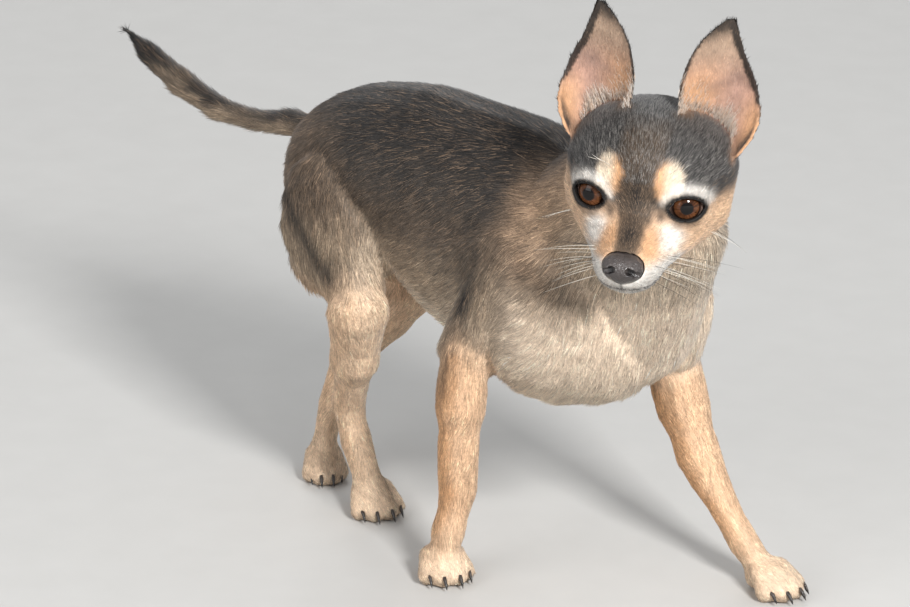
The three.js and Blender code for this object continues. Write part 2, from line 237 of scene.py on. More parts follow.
# Skin: one closed surface under the coat, for every node of flesh
legNames = {
    leg: [f"{leg}_{part}" for part in parts]
    for leg, parts in {
        "fore_right": ("upper_arm", "forearm", "paw"),
        "fore_left": ("upper_arm", "forearm", "paw"),
        "hind_right": ("thigh", "shank", "paw"),
        "hind_left": ("thigh", "shank", "paw"),
    }.items()
}
tailNames = ["tail_base", "tail_middle", "tail_tip"]
earNames = ["ear_left", "ear_right"]
bodyNames = ["torso", "neck", *tailNames, *sum(legNames.values(), [])]
fleshNames = bodyNames + ["head"] + earNames
skinPlan = {
    "bodyVoxel": 1.3 * mm, "headVoxel": 0.6 * mm, "overlap": 0.25 * mm,
    "bodyFaces": 84000, "headFaces": 96000, "bodyRounds": 46, "headRounds": 26,
    "joinRounds": 30, "joinFrom": 2, "joinTo": 9, "joinReach": 20,
}


def makeSkin():
    body = applied(gathered(bodyNames, skinPlan["overlap"]), "REMESH", mode="VOXEL",
                   voxel_size=skinPlan["bodyVoxel"])
    body = thinned(relaxed(body, skinPlan["bodyRounds"], lambda p: np.ones(len(p))), skinPlan["bodyFaces"])
    head = applied(gathered(["head", *earNames], skinPlan["overlap"]), "REMESH", mode="VOXEL",
                   voxel_size=skinPlan["headVoxel"])
    head = thinned(relaxed(head, skinPlan["headRounds"], headSoftness), skinPlan["headFaces"])
    other = bpy.data.objects.new("headHolder", head)
    scene.collection.objects.link(other)
    skin = applied(body, "BOOLEAN", operation="UNION", solver="MANIFOLD", object=other)
    bpy.data.objects.remove(other)
    # The join behind the jaw and round the nape is eased away
    points, edges = pointsOf(skin), edgesOf(skin)
    seam = sum(np.minimum(farFrom(pointsOf(part), points), skinPlan["joinReach"]) for part in (head, body))
    ease = 1 - step(skinPlan["joinFrom"], skinPlan["joinTo"], seam)
    setPoints(skin, smoothed(points, edges, skinPlan["joinRounds"], ease, keepSize=False))
    return skin


def thinned(mesh, faces):
    return applied(mesh, "DECIMATE", ratio=min(1, faces / len(trianglesOf(mesh))))


def treeOf(points):
    tree = KDTree(len(points))
    for k, p in enumerate(points):
        tree.insert(p, k)
    tree.balance()
    return tree


def farFrom(others, points):
    tree = treeOf(others[::2])
    return np.array([tree.find(p)[2] for p in points]) / mm


def relaxed(mesh, rounds, softness):
    points = pointsOf(mesh)
    setPoints(mesh, smoothed(points, edgesOf(mesh), rounds, softness(points)))
    return mesh


# How far places are from one that lies a little ahead of the middle of an eye
def fromEye(places, side, ahead):
    return np.linalg.norm(places - eyePlaces[side] - eyeGaze[side] * ahead, axis=1)


# How freely the head may be smoothed: little at the lids
def headSoftness(points):
    p = onHead(points)
    soft = np.ones(len(p))
    for side in (-1, 1):
        soft *= 0.3 + 0.7 * step(9, 14, fromEye(p, side, 5))
    return soft


# How far each place on the head is above the line of the mouth, and how plain the line is there
def mouthLine(p):
    turn = np.abs(np.arctan2(p[:, 1], p[:, 0] - 33))
    line = -35.4 + 4.6 * step(0.2, 1.7, turn) - 2.5 * step(1.7, 2.3, turn)
    plain = step(2.1, 1.3, turn) * step(24, 30, p[:, 0])
    return p[:, 2] - line, plain


# Which node of flesh each point of the skin belongs to
def nearestNode(points):
    samples, owners = [], []
    for k, name in enumerate(fleshNames):
        own = pointsOf(nodes[name].data)
        tri = trianglesOf(nodes[name].data)
        both = np.concatenate([own, own[tri].mean(1), (own[tri[:, 0]] + own[tri[:, 1]]) / 2])
        samples.append(both)
        owners.append(np.full(len(both), k))
    tree = treeOf(np.concatenate(samples))
    owners = np.concatenate(owners)
    return owners[np.array([tree.find(p)[1] for p in points])]


# The coat: depth, length and width of a tuft in millimetres, tufts to a square millimetre, and
# degrees that they lift off the skin
coatPlan = {
    "torso": dict(depth=1.5, length=6.6, width=0.36, count=2.0, lift=6),
    "neck": dict(depth=1.7, length=6.8, width=0.36, count=2.2, lift=8),
    "head": dict(depth=0.7, length=3.4, width=0.22, count=4.6, lift=8),
    "ear": dict(depth=0.05, length=2.2, width=0.18, count=3.6, lift=5),
    "tail": dict(depth=1.5, length=7.0, width=0.32, count=2.8, lift=11),
    "upper_arm": dict(depth=1.3, length=5.6, width=0.33, count=2.2, lift=6),
    "thigh": dict(depth=1.3, length=6.0, width=0.34, count=2.1, lift=6),
    "forearm": dict(depth=0.7, length=3.8, width=0.27, count=2.8, lift=5),
    "shank": dict(depth=0.7, length=3.8, width=0.27, count=2.8, lift=5),
    "paw": dict(depth=0.5, length=2.6, width=0.23, count=3.2, lift=6),
}


def coatKind(name):
    return max((kind for kind in coatPlan if kind in name), key=len)


# A value for each node of flesh, handed to the points that belong to it
def byNode(valueOf, regions):
    return np.array([valueOf(name) for name in fleshNames])[regions]


def coatValues(regions, key):
    return byNode(lambda name: coatPlan[coatKind(name)][key], regions).astype(float)


def earSide(p):
    return np.where(p[:, 1] > 0, 1, -1)


# Lie of the coat: the way that the hair points, before it is pressed flat to the skin
def lieOf(points, normals, regions):
    b, h = onBody(points), onHead(points)
    way = np.zeros_like(points)
    middle = {name: boxMiddle(name) for name in fleshNames}
    for k, name in enumerate(fleshNames):
        here = regions == k
        if name == "torso":
            front = step(40, 72, b[here, 0])[:, None]
            side = np.abs(normals[here, 1])[:, None]
            down = np.array([-0.35, 0, -1.0])
            back = np.array([-1.0, 0, -0.12]) + side * np.array([0.15, 0, -0.42])
            way[here] = back * (1 - front) + down * front
        elif name == "neck":
            low = step(0.1, -0.6, normals[here, 2])[:, None]
            way[here] = np.array([-0.85, 0.1, -0.6]) * (1 - low) + np.array([-0.3, 0, -1.0]) * low
        elif name == "head":
            away = h[here] - np.array([60, 0, -22])
            away[:, 2] *= 0.8
            way[here] = unit(away) @ headAxes
        elif name in earNames:
            away = np.stack([-0.1 * np.ones(here.sum()), (h[here, 1] - earSide(h[here]) * 28) * 0.02,
                             np.ones(here.sum())], 1)
            way[here] = away @ headAxes
        elif name in tailNames:
            way[here] = unit(middle["tail_tip"] - middle["tail_base"]) if name != "tail_tip" else \
                unit(np.array([-1, 0, 0.6]))
        elif name.endswith("paw"):
            tips = np.mean([boxMiddle(n) for n in nodes if n.startswith(name[:-3] + "claw")], axis=0)
            ahead = unit((tips - middle[name]) * [1, 1, 0])
            way[here] = ahead + np.array([0, 0, -0.55])
        else:
            leg = next(parts for parts in legNames.values() if name in parts)
            after = leg[leg.index(name) + 1]
            way[here] = unit(middle[after] - middle[name])
    return unit(way)


def pressed(way, normals):
    flat = way - normals * (way * normals).sum(1, keepdims=True)
    return unit(flat)


skinMesh = makeSkin()
print("skin", len(skinMesh.vertices), "points")
skinEdges = edgesOf(skinMesh)
skinRegions = nearestNode(pointsOf(skinMesh))
print("regions")


def evened(values, rounds):
    for _ in range(rounds):
        values = spread(values, skinEdges, len(values))
    return values


# Share of a change that falls near the edge of a node, where its values run into the next one's
def edgeShare():
    apart = (skinRegions[skinEdges[:, 0]] != skinRegions[skinEdges[:, 1]]).astype(float)
    near = np.bincount(skinEdges.ravel(), np.repeat(apart, 2), len(skinRegions))
    near = evened(np.minimum(near, 1)[:, None], 12)[:, 0]
    return step(0.02, 0.16, near)


borders = edgeShare()


def blended(values, rounds=40):
    return mix(values, evened(values, rounds), borders)


# The skin lies inside the outline by the depth of the coat, but not at lids, nose and lips
def sunkSkin():
    points, normals = pointsOf(skinMesh), normalsOf(skinMesh)
    depth = coatValues(skinRegions, "depth")
    h = onHead(points)
    for side in (-1, 1):
        depth = depth * (0.2 + 0.8 * step(9, 13, fromEye(h, side, 4)))
    depth = depth * (0.25 + 0.75 * step(9, 14, np.linalg.norm(h - (53, 0, -25), axis=1)))
    depth = blended(evened(depth[:, None], 8))[:, 0]
    above, plain = mouthLine(h)
    head = skinRegions == fleshNames.index("head")
    cleft = np.exp(-(above / 0.55) ** 2) - 0.35 * np.exp(-((above + 1.7) / 1.1) ** 2)
    depth += head * plain * cleft * 0.9
    return points - normals * ((depth + skinPlan["overlap"] / mm) * mm)[:, None]


setPoints(skinMesh, sunkSkin())
skinPoints, skinNormals = pointsOf(skinMesh), normalsOf(skinMesh)
skinLie = pressed(evened(lieOf(skinPoints, skinNormals, skinRegions), 24), skinNormals)
print("lie of the coat")


# Flat map of the skin: one island for each node and each way that it faces
mapPlan = {"margin": 0.004, "tuft": 0.003, "tuftsInPiece": 49000}


def unwrap():
    tri = trianglesOf(skinMesh)
    corner = skinPoints[tri]
    facing = np.cross(corner[:, 1] - corner[:, 0], corner[:, 2] - corner[:, 0])
    axis = np.abs(facing).argmax(1)
    sign = (np.take_along_axis(facing, axis[:, None], 1)[:, 0] > 0).astype(int)
    island = skinRegions[tri[:, 0]] * 6 + axis * 2 + sign
    flat = np.empty((len(tri), 3, 2))
    for a in range(3):
        here = axis == a
        flat[here] = corner[here][:, :, [(a + 1) % 3, (a + 2) % 3]]
    boxes = []
    for k in np.unique(island):
        inside = flat[island == k].reshape(-1, 2)
        low = inside.min(0)
        boxes.append((k, low, inside.max(0) - low))
    boxes.sort(key=lambda one: -one[2][1])
    scale = 1 / math.sqrt(sum(size[0] * size[1] for _, _, size in boxes))
    starts = None
    while starts is None:
        starts = shelved(boxes, scale)
        scale *= 0.97
    scale /= 0.97
    for k, low, _ in boxes:
        here = island == k
        flat[here] = (flat[here] - low) * scale + starts[k]
    return tri, flat


def shelved(boxes, scale):
    margin = mapPlan["margin"]
    x = y = margin
    tall = 0
    starts = {}
    for k, _, size in boxes:
        wide, high = size * scale + margin
        if x + wide > 1:
            x, y, tall = margin, y + tall, 0
        if y + high > 1 or x + wide > 1:
            return None
        starts[k] = np.array([x, y])
        x += wide
        tall = max(tall, high)
    return starts


skinTriangles, skinMap = unwrap()
print("flat map")


# Colours of coat and skin, linear
tint = {
    "black": (0.012, 0.010, 0.009), "saddle": (0.034, 0.027, 0.022), "brown": (0.115, 0.080, 0.054),
    "grizzle": (0.30, 0.225, 0.155), "tan": (0.56, 0.31, 0.155), "fawn": (0.70, 0.46, 0.29),
    "cream": (0.76, 0.62, 0.47), "white": (0.76, 0.71, 0.65), "grey": (0.040, 0.037, 0.035),
    "silver": (0.33, 0.305, 0.28), "pink": (0.72, 0.46, 0.37), "earSkin": (0.46, 0.28, 0.215),
}
tint = {name: np.array(value) for name, value in tint.items()}
tint["chest"] = tint["cream"] * 0.98 + tint["pink"] * 0.14


# Layers of colour over another one: name, strength, and share at each point
def layered(colour, *layers):
    for name, strength, share in layers:
        colour = mix(colour, tint[name] * strength, share)
    return colour


# Markings of the body: where each one lies
markPlan = {
    "shoulderPatch": ((46, 37, 184), (13, 14, 20)), "armStreak": ((12, 42, 138), (7, 18, 30)),
    "stripeTop": (-109, 159), "stripeRun": (43, -35), "stripeWidth": 5.5,
    "throatFacing": (0.8, -0.35, -0.5), "tailDark": (-206, -232),
}


# Colour at each point, and how strongly single hairs differ there
def markings(points, normals, regions):
    b, h = onBody(points), onHead(points)
    wave = drift(b, 9, 1) * 0.5 + drift(b, 4, 2) * 0.35
    fine = drift(b * (0.35, 1, 0.35), 1.6, 3)
    kinds = byNode(coatKind, regions)
    colour, ticking = np.zeros((len(points), 3)), np.zeros(len(points))
    marked = {
        "torso": trunkMarkings, "upper_arm": trunkMarkings, "neck": neckMarkings, "thigh": thighMarkings,
        "forearm": forearmMarkings, "shank": lowerLegMarkings, "paw": lowerLegMarkings,
        "tail": tailMarkings, "head": faceMarkings, "ear": earMarkings,
    }
    for kind, marks in marked.items():
        here = kinds == kind
        where = h if kind in ("head", "ear") else b
        colour[here], ticking[here] = marks(where[here], normals[here], wave[here], fine[here])
    return np.clip(colour, 0, 1), ticking


def mirroredAcross(p):
    return np.stack([p[:, 0], np.abs(p[:, 1]), p[:, 2]], 1)


def shoulderPatch(b):
    return bump(*markPlan["shoulderPatch"], mirroredAcross(b))


# Trunk: black along the back, grizzled brown flanks, pale chest and belly
def trunkMarkings(b, normals, wave, fine):
    high = b[:, 2] + wave * 7 - np.abs(b[:, 1]) * 0.25
    streaks = step(0.1, 0.55, drift(b * (1, 1, 0.22), 4.5, 4)) * step(92, 112, high)
    rump = step(-70, -105, b[:, 0]) * step(205, 185, b[:, 2])
    chest = step(26, 50, b[:, 0]) * step(158, 138, b[:, 2] + wave * 5)
    belly = step(-0.2, -0.8, normals[:, 2])
    armStreak = bump(*markPlan["armStreak"], mirroredAcross(b))
    trunk = layered(
        tint["cream"] * 0.9, ("grizzle", 1.1, step(104, 130, high)), ("brown", 1, step(130, 156, high)),
        ("saddle", 1.2, step(150, 180, high)), ("black", 1.3, step(172, 196, high) * 0.8),
        ("black", 1, streaks * 0.5), ("brown", 1.7, rump * 0.7), ("chest", 1, chest),
        ("cream", 1, belly * 0.8), ("fawn", 1, shoulderPatch(b) * 0.75),
        ("black", 1, np.clip(armStreak * 1.2, 0, 1)),
    )
    return trunk, 0.75 - 0.6 * chest


# Neck: dark nape, grizzled tan sides, pale throat
def neckMarkings(b, normals, wave, fine):
    front = step(0.1, 0.9, normals @ unit(np.array(markPlan["throatFacing"])))
    throat = step(30, 52, b[:, 0]) * step(164, 142, b[:, 2] + wave * 5)
    neck = layered(
        tint["saddle"] * 1.5, ("grizzle", 0.8, step(0.75, 0.1, normals[:, 2])),
        ("fawn", 0.7, step(0.2, 0.85, np.abs(normals[:, 1])) * 0.35), ("cream", 0.85, front * 0.75),
        ("fawn", 1, shoulderPatch(b) * 0.7), ("chest", 1, throat),
    )
    return neck, 0.65 - 0.5 * throat


# Thigh: brown above, a dark slanting stripe, a pale edge in front
def thighMarkings(b, normals, wave, fine):
    ahead, height = b[:, 0], b[:, 2]
    (topAhead, topHeight), (runAhead, runHeight) = markPlan["stripeTop"], markPlan["stripeRun"]
    along = (ahead - topAhead) * runAhead + (height - topHeight) * runHeight
    along = np.clip(along / (runAhead ** 2 + runHeight ** 2), 0, 1)
    offAhead, offHeight = ahead - topAhead - runAhead * along, height - topHeight - runHeight * along
    stripe = np.exp(-(offAhead ** 2 + offHeight ** 2) / markPlan["stripeWidth"] ** 2)
    pale = step(-66, -50, ahead + (height - 125) * 0.06) * step(178, 140, height)
    inside = step(0.1, 0.7, normals[:, 1] * np.where(b[:, 1] < 0, 1, -1))
    thigh = layered(
        tint["fawn"] * 0.9, ("grizzle", 1, step(108, 132, height + wave * 8)),
        ("brown", 1, step(140, 165, height + wave * 8)), ("cream", 1, pale * 0.85),
        ("black", 1, stripe * 0.8), ("fawn", 1, inside * 0.6),
    )
    return thigh, 0.6


# Lower legs: clear tan, lighter in front and towards the toes, palest behind
def legTan(normals, wave):
    return layered(tint["tan"] * 1.2, ("fawn", 1.08, step(-0.2, 0.8, normals[:, 0] + wave * 0.4)))


def lowerLegMarkings(b, normals, wave, fine):
    pale = step(46, 8, b[:, 2]) * 0.4
    return layered(legTan(normals, wave), ("cream", 1.15, 0.4), ("cream", 1, pale)), 0.28


def forearmMarkings(b, normals, wave, fine):
    pale = step(46, 8, b[:, 2]) * 0.4
    high = step(84, 108, b[:, 2] + wave * 6) * step(0.5, -0.3, normals[:, 0])
    return layered(legTan(normals, wave), ("cream", 1, pale), ("brown", 1, high * 0.7)), 0.28


# Tail: dark above, black at the tip, grizzled below
def tailMarkings(b, normals, wave, fine):
    above = step(-0.1, 0.6, normals[:, 2] + fine * 0.5 + wave * 0.3)
    end = step(*markPlan["tailDark"], b[:, 0])
    return layered(tint["grizzle"] * 1.1, ("saddle", 1, above), ("black", 1, end)), 0.7


# Markings of the face: middles and reaches, given for the left side
facePlan = {
    "browPatch": ((28, 12.4, 5.5), (15, 5.4, 7.6)), "underEye": ((34, 15.5, -17.5), (9, 5.2, 5)),
    "bridgeSide": ((41, 8.6, -18.5), (8, 3.8, 6)), "aboveNose": ((40, 0, -17), (9, 3.6, 6)),
    "betweenBrows": ((31, 0, 0), (9, 2.6, 9)), "eyeAt": (20.5, -4.8), "arcRadius": 8.9, "arcWidth": 1.9,
    "almondHalf": 9.3, "almondAbove": 6.4, "almondBelow": 6.2,
}


def faceMarkings(h, normals, wave, fine):
    f, l, u = h.T
    away = np.abs(l)
    mirrored = mirroredAcross(h)
    edge = wave * 1.6 + fine * 0.8
    face = layered(
        tint["grey"], ("saddle", 0.9, step(8, -20, f) * 0.6),
        ("brown", 0.7, step(13, 3, away + edge) * step(8, 22, f) * 0.55),
        ("fawn", 1.05, step(1, -9, u + edge + step(30, 22, away) * 4)),
    )

    # Cream over each eye, whitest in an arc close above it and tan towards the middle
    eyeAcross, eyeUp = away - facePlan["eyeAt"][0], u - facePlan["eyeAt"][1]
    ring = (np.hypot(eyeAcross, eyeUp) - facePlan["arcRadius"]) / facePlan["arcWidth"]
    patch = np.clip(bump(*facePlan["browPatch"], mirrored) * 1.6, 0, 1)
    arc = np.exp(-ring ** 2) * step(-1, 3, eyeUp + edge * 0.3) * step(12, 18, f)
    brow = mix(tint["tan"] * 1.25, tint["cream"] * 1.05, step(8, 14, away))
    face = mix(face, brow, step(0.2, 0.7, patch + edge * 0.12))

    # Cheeks, white under the inner corners of the eyes, tan sides of the bridge, pale lips
    cheek = step(20, 27, away) * step(-4, -12, u)
    under = np.clip(bump(*facePlan["underEye"], mirrored) * 1.8, 0, 1)
    bridge = np.clip(bump(*facePlan["bridgeSide"], mirrored) * 1.8, 0, 1)
    lips = step(-21, -26, u + edge * 0.6) * step(24, 34, f)
    face = layered(
        face, ("white", 1, np.clip(arc * 1.2, 0, 1) * 0.7), ("fawn", 1.1, cheek * 0.7),
        ("white", 1, under * 0.95), ("tan", 1.15, bridge * 0.75), ("white", 0.93, lips),
    )

    # A grizzled band runs down the forehead and narrows to a dark spot above the nose
    width = 4.4 + 3.2 * np.exp(-((u + 4) / 10) ** 2) + 5 * step(6, 18, u)
    band = step(width + 2.2, width - 1.6, away + edge) * step(30, 18, u) * (u > -27) * step(4, 18, f)
    dark = np.clip(bump(*facePlan["aboveNose"], h) * 1.5 + bump(*facePlan["betweenBrows"], h), 0, 1)
    chin = step(-34, -37, u) * step(10, 26, f)
    throat = step(-20, -30, u) * step(22, 0, f)
    face = layered(
        face, ("brown", 0.62, band * 0.92), ("black", 1.6, band * dark * 0.85),
        ("white", 0.95, chin * 0.9), ("cream", 0.9, throat * 0.8),
    )

    # Black rims follow the almond of each opening; dark smudges below and at the inner corner
    for side in (-1, 1):
        gaze = eyeGaze[side]
        across = unit(np.cross([0, 0, 1], gaze))
        off = h - eyePlaces[side]
        a, e, ahead = off @ across, off @ np.cross(gaze, across), off @ gaze
        tall = np.where(e > 0, facePlan["almondAbove"], facePlan["almondBelow"])
        almond = np.hypot(a / facePlan["almondHalf"], e / tall)
        below = step(1.75, 1.1, almond) * step(0.5, -2.5, e) * step(-9, -4, -np.abs(a)) * (ahead > 0)
        rim = step(1.10, 0.94, almond) * (ahead > 0)
        tear = np.clip(bump((27.5, side * 10.6, -9.4), (7, 2.2, 2.4), h) * 1.5, 0, 1)
        face = layered(face, ("brown", 0.7, below * 0.7), ("black", 0.8, rim), ("black", 1, tear * 0.75))

    # Line of the mouth, and the groove between it and the nose
    above, plain = mouthLine(h)
    line = np.exp(-(above / 0.62) ** 2) * plain
    groove = np.exp(-(l / 0.5) ** 2) * step(-37, -35.6, u) * step(-28, -30, u) * step(40, 46, f)
    face = layered(face, ("black", 1, line * 0.95), ("black", 2, groove * 0.7))
    ticks = 0.2 + 0.8 * np.maximum(step(-2, 6, u) * (1 - step(0.2, 0.7, patch)), band)
    return face, ticks


# Dark edge of an ear, broad on the outside and towards the tip, thin on the inside
def earRim(h, side, t, mottle):
    rim = np.zeros(len(h))
    levels = 33
    level = np.clip((t * 30).astype(int), 0, levels - 1)
    across = h[:, 1] * side
    for one in (-1, 1):
        low, high = np.full(levels, np.inf), np.full(levels, -np.inf)
        here = side == one
        np.minimum.at(low, level[here], across[here])
        np.maximum.at(high, level[here], across[here])
        outer, inner = high[level[here]] - across[here], across[here] - low[level[here]]
        ragged = mottle[here] * 1.2
        broad = 0.6 + 3.0 * step(0.25, 0.6, t[here])
        edge = step(broad + 1, broad - 0.6, outer + ragged) * step(0.2, 0.38, t[here])
        rim[here] = np.maximum(edge, step(2.0, 0.8, inner + ragged * 0.4) * step(0.1, 0.3, t[here]))
    return rim


# Ears: dark behind, pink and tan inside, with painted shade along a fold and in the canal
def earMarkings(h, normals, wave, fine):
    side = earSide(h)
    n = normals @ headAxes.T
    facing = n[:, 0] * 0.9 + n[:, 1] * side * 0.35
    inner = step(-0.15, 0.3, facing)
    t = (h[:, 2] - 8) / 62
    outward = (h[:, 1] * side - 27 - 6 * t) / 18
    mottle = drift(h, 5, 41) * 0.5 + drift(h, 2.2, 42) * 0.5
    back = mix(tint["grey"] * 0.8, tint["black"] * 1.5, step(0.45, 0.95, t))
    crease = (t - 0.5 - 0.12 * outward + mottle * 0.05) / 0.05
    foldShade = np.exp(-crease ** 2) * step(0.9, 0.2, np.abs(outward))
    canalShade = np.exp(-((outward + 0.1) / 0.35) ** 2 - ((t - 0.22) / 0.16) ** 2)
    tip = step(0.84, 0.98, t + np.abs(outward) * 0.12 + mottle * 0.05)
    # Painted shade: the pink is darkened along the fold and in the canal
    front = layered(
        tint["earSkin"], ("grizzle", 1.25, step(0.4, 0.8, t) * 0.7),
        ("tan", 1.1, step(0.15, -0.75, outward) * step(0.75, 0.35, t) * 0.8),
        ("tan", 1.15, step(0.1, 0.7, outward) * step(0.5, 0.2, t) * 0.8), ("pink", 0.35, foldShade * 0.6),
        ("pink", 0.5, canalShade * 0.6), ("black", 1.3, np.maximum(earRim(h, side, t, mottle), tip) * 0.93),
    )
    front = front * (1 + 0.25 * mottle)[:, None]
    return mix(back, front, inner), 0.3


skinColours, skinTicks = markings(skinPoints, skinNormals, skinRegions)
skinColours, skinTicks = blended(skinColours), blended(skinTicks[:, None])[:, 0]
coatSizes = {
    key: blended(coatValues(skinRegions, key)[:, None])[:, 0] for key in ("length", "width", "lift")
}


# Materials
def nodeTree(name):
    material = bpy.data.materials.new(name)
    material.use_nodes = True
    tree = material.node_tree
    tree.nodes.clear()
    out = tree.nodes.new("ShaderNodeOutputMaterial")
    skin = tree.nodes.new("ShaderNodeBsdfPrincipled")
    tree.links.new(skin.outputs["BSDF"], out.inputs["Surface"])
    return material, tree, skin


def grain(tree, scale, detail=4.0, stretch=(1, 1, 1), rough=0.55):
    where = tree.nodes.new("ShaderNodeTexCoord")
    turn = tree.nodes.new("ShaderNodeMapping")
    turn.inputs["Scale"].default_value = stretch
    noise = tree.nodes.new("ShaderNodeTexNoise")
    noise.inputs["Scale"].default_value = scale
    noise.inputs["Detail"].default_value = detail
    noise.inputs["Roughness"].default_value = rough
    tree.links.new(where.outputs["Object"], turn.inputs["Vector"])
    tree.links.new(turn.outputs["Vector"], noise.inputs["Vector"])
    return noise


def ranged(tree, source, low, high, fromLow=0.3, fromHigh=0.7):
    change = tree.nodes.new("ShaderNodeMapRange")
    change.inputs["From Min"].default_value = fromLow
    change.inputs["From Max"].default_value = fromHigh
    change.inputs["To Min"].default_value = low
    change.inputs["To Max"].default_value = high
    tree.links.new(source, change.inputs["Value"])
    return change.outputs["Result"]


def raised(tree, skin, source, strength, distance):
    lift = tree.nodes.new("ShaderNodeBump")
    lift.inputs["Strength"].default_value = strength
    lift.inputs["Distance"].default_value = distance
    tree.links.new(source, lift.inputs["Height"])
    tree.links.new(lift.outputs["Normal"], skin.inputs["Normal"])


# Painted colour, varied a little in brightness by a grain
def painted(tree, skin, grainOut, low, high):
    paint = tree.nodes.new("ShaderNodeAttribute")
    paint.attribute_name = "paint"
    shade = tree.nodes.new("ShaderNodeVectorMath")
    shade.operation = "SCALE"
    tree.links.new(paint.outputs["Color"], shade.inputs[0])
    tree.links.new(ranged(tree, grainOut, low, high), shade.inputs["Scale"])
    tree.links.new(shade.outputs["Vector"], skin.inputs["Base Color"])


# Surfaces whose grain varies their shade, roughness and height
surfacePlan = {
    "shortCoat": dict(
        grain=(900, 3), shade=(0.8, 1.2), rough=(0.42, 0.62), raised=(0.2, 0.0001),
        inputs={"Specular IOR Level": 0.35, "Sheen Weight": 0.12, "Sheen Roughness": 0.5},
    ),
    "skinUnderCoat": dict(
        grain=(1400, 6, (1, 1, 0.5)), shade=(0.86, 1.1), rough=(0.5, 0.75), raised=(0.5, 0.0003),
        inputs={"Specular IOR Level": 0.3, "Subsurface Weight": 0.08,
                "Subsurface Radius": (0.003, 0.0015, 0.001)},
    ),
    "wetEye": dict(
        grain=(1800, 3), shade=(0.85, 1.15), rough=(0.05, 0.09), raised=None,
        inputs={"IOR": 1.376, "Specular IOR Level": 0.42},
    ),
    "darkHorn": dict(
        grain=(500, 4, (1, 1, 0.3)), shade=(0.6, 1.5), rough=(0.22, 0.42), raised=(0.2, 0.0002), inputs={},
    ),
    "Hair": dict(grain=(1200, 2), shade=(0.85, 1.15), rough=(0.3, 0.45), raised=None, inputs={}),
}


def surface(kind, owner=""):
    plan = surfacePlan[kind]
    material, tree, skin = nodeTree(owner + kind)
    noise = grain(tree, *plan["grain"]).outputs["Fac"]
    painted(tree, skin, noise, *plan["shade"])
    tree.links.new(ranged(tree, noise, *plan["rough"]), skin.inputs["Roughness"])
    for name, value in plan["inputs"].items():
        skin.inputs[name].default_value = value
    if plan["raised"]:
        raised(tree, skin, noise, *plan["raised"])
    return material


def paint(mesh, colours):
    layer = mesh.color_attributes.new("paint", "FLOAT_COLOR", "POINT")
    full = np.ones((len(colours), 4), np.float32)
    full[:, :3] = colours
    layer.data.foreach_set("color", full.ravel())


def mapTo(mesh, flat):
    layer = mesh.uv_layers.new(name="OFBake")
    layer.data.foreach_set("uv", flat.astype(np.float32).ravel())


def buildSkin():
    mesh = meshFrom("skin", skinPoints, skinTriangles)
    mapTo(mesh, skinMap.reshape(-1, 2))
    paint(mesh, skinColours * 0.88)
    return place("skin", mesh, surface("skinUnderCoat"), fleshNames)


skin = buildSkin()
print("skin placed")


# Eyes: globes with a raised front, painted from the pupil outwards
eyePlan = {"iris": 5.7, "pupil": 2.7, "rise": 0.45, "rings": 72, "around": 144}
eyeTint = {
    "irisInner": (0.060, 0.022, 0.010), "irisOuter": (0.095, 0.036, 0.015), "pupil": (0.004, 0.003, 0.003),
    "irisEdge": (0.010, 0.006, 0.005), "whiteNear": (0.05, 0.025, 0.018), "whiteFar": (0.32, 0.22, 0.18),
}
eyeTint = {name: np.array(value) for name, value in eyeTint.items()}


def buildEye(side):
    name = "eye_left" if side > 0 else "eye_right"
    rings, around = eyePlan["rings"], eyePlan["around"]
    radius = headPlan["eyeRadius"]
    ahead = eyeGaze[side]
    across = unit(np.cross([0, 0, 1], ahead))
    rising = np.cross(ahead, across)
    turn = (np.arange(rings + 1) / rings) ** 1.15 * math.pi
    angle = np.arange(around) / around * 2 * math.pi
    t, a = [grid.ravel() for grid in np.meshgrid(turn[1:-1], angle, indexing="ij")]
    t, a = np.concatenate([[0], t, [math.pi]]), np.concatenate([[0], a, [0]])
    out = np.sin(t) * radius
    rise = eyePlan["rise"] * step(0.78, 0.2, t)
    round3 = np.cos(a)[:, None] * across + np.sin(a)[:, None] * rising
    ways = np.cos(t)[:, None] * ahead + np.sin(t)[:, None] * round3
    points = fromHead(eyePlaces[side] + ways * (radius + rise)[:, None])
    last = len(points) - 1
    triangles = []
    this = np.arange(around)
    after = (this + 1) % around
    triangles.append(np.stack([np.zeros(around, int), 1 + this, 1 + after], 1))
    for k in range(rings - 2):
        low, high = 1 + k * around, 1 + (k + 1) * around
        triangles.append(np.stack([low + this, high + this, high + after], 1))
        triangles.append(np.stack([low + this, high + after, low + after], 1))
    low = 1 + (rings - 2) * around
    triangles.append(np.stack([low + this, np.full(around, last), low + after], 1))
    mesh = meshFrom(name + "_globe", points, np.concatenate(triangles))
    spokes = drift(np.stack([np.cos(a) * 9, np.sin(a) * 9, out * 0.25], 1), 0.8, 31 + side)
    flecks = drift(np.stack([np.cos(a) * out, np.sin(a) * out, a * 0], 1), 0.7, 33 + side)
    behind = np.where(t > 1.5, 1.0, 0)
    share = np.clip(out / eyePlan["iris"], 0, 1)
    iris = mix(eyeTint["irisInner"], eyeTint["irisOuter"], step(0.45, 0.8, share))
    iris = iris * (1 + 0.55 * spokes + 0.3 * flecks)[:, None]
    # The lower part of the iris is lit through, the upper part lies in the shade of the lid
    iris = iris * (1.1 - 0.75 * np.sin(a) * share)[:, None]
    iris = mix(iris, eyeTint["pupil"], step(eyePlan["pupil"] + 0.35, eyePlan["pupil"] - 0.25, out))
    iris = mix(iris, eyeTint["irisEdge"], step(eyePlan["iris"] - 0.8, eyePlan["iris"], out))
    white = mix(eyeTint["whiteNear"], eyeTint["whiteFar"], step(0.3, 1.6, out - eyePlan["iris"]))
    colour = mix(iris, white, np.maximum(step(0, 0.5, out - eyePlan["iris"]), behind))
    paint(mesh, np.clip(colour, 0, 1))
    place(name + "_globe", mesh, surface("wetEye"), [name])


for side in (-1, 1):
    buildEye(side)
print("eyes")


